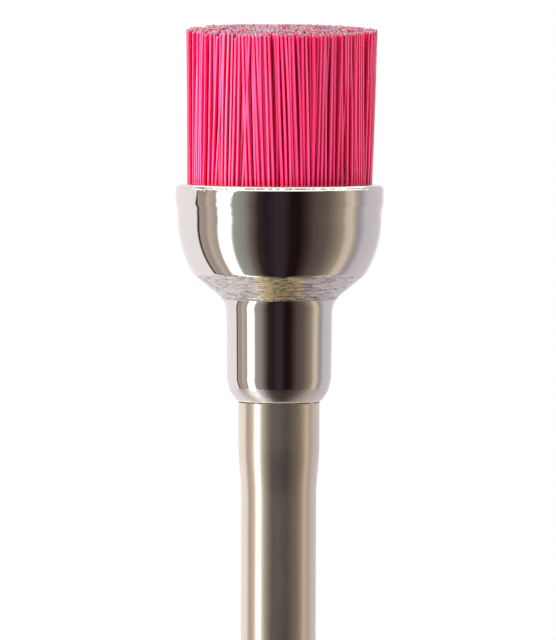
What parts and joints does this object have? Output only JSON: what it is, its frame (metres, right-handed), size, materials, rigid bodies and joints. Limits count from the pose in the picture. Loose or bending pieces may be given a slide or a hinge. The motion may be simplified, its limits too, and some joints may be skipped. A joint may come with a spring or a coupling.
{
  "type": "rotary cup brush",
  "caption": "Round end brush for a nail drill: upright nylon bristles in a plated cup on a straight cylindrical shank.",
  "frame": {"origin": "centre of the shank's free end face, on the axis of rotation", "axes": "+Z along the axis of rotation, from the shank towards the bristle tips; X and Y across it"},
  "size_m": [0.0066, 0.0066, 0.0431],
  "materials": {
    "plated_steel": "bright nickel plate over steel, fine lengthways polish",
    "plated_brass": "bright nickel plate over turned brass, rough and brassy in the hollow under the bowl",
    "brass_wire": "drawn wire",
    "epoxy": "cured resin, slightly glossy",
    "nylon_bristle": "translucent hot pink nylon filament, cut square"
  },
  "bodies": {
    "root": {"mandrel": "plated_steel", "cup": "plated_brass", "anchor_ring": "brass_wire", "resin": "epoxy", "tuft_01": "nylon_bristle", "tuft_02": "nylon_bristle", "tuft_03": "nylon_bristle", "tuft_04": "nylon_bristle", "tuft_05": "nylon_bristle", "tuft_06": "nylon_bristle", "tuft_07": "nylon_bristle", "tuft_08": "nylon_bristle", "tuft_09": "nylon_bristle", "tuft_10": "nylon_bristle", "tuft_11": "nylon_bristle", "tuft_12": "nylon_bristle", "tuft_13": "nylon_bristle", "tuft_14": "nylon_bristle", "tuft_15": "nylon_bristle", "tuft_16": "nylon_bristle"}
  },
  "joints": []
}
